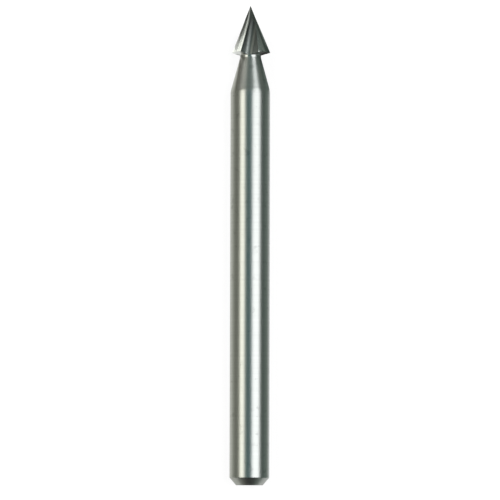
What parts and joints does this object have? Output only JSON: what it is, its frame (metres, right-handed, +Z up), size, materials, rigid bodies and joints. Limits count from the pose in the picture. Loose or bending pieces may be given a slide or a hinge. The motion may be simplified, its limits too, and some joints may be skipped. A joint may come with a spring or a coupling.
{
  "type": "shank cutter",
  "caption": "Rotary cutter ground from one steel bar: a pointed cone head with three slanting flutes, a short neck, a taper and a straight round shank with a chamfered tail.",
  "frame": {"origin": "under the middle of the tool's length, on the surface that its shank lies on", "axes": "+Y along the tool's axis from the tail to the point; +Z up, the side that faces the viewer in the picture"},
  "size_m": [0.0032, 0.0384, 0.0032],
  "materials": {
    "ground_steel": "fine ground, semi-bright"
  },
  "bodies": {
    "root": {"shank_cutter": "ground_steel"}
  },
  "joints": []
}
